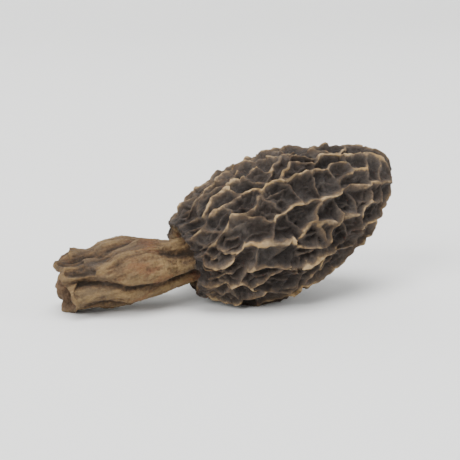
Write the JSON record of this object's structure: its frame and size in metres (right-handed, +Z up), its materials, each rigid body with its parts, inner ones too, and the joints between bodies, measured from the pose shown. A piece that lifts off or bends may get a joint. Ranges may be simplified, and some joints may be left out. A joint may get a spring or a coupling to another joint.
{
  "type": "dried morel mushroom",
  "caption": "Whole dried morel lying on its side, with a deeply pitted ovoid cap grown onto a short folded hollow stem.",
  "frame": {"origin": "centre of the bounding box's footprint, on the surface that the morel lies on", "axes": "+X from the cut end of the stem towards the tip of the cap, +Z up"},
  "size_m": [0.0372, 0.0174, 0.0162],
  "materials": {
    "morel": "matt dried fungus, tan ridges over dark brown pits, ochre brown stem"
  },
  "bodies": {
    "root": {"morel": "morel"}
  },
  "joints": []
}
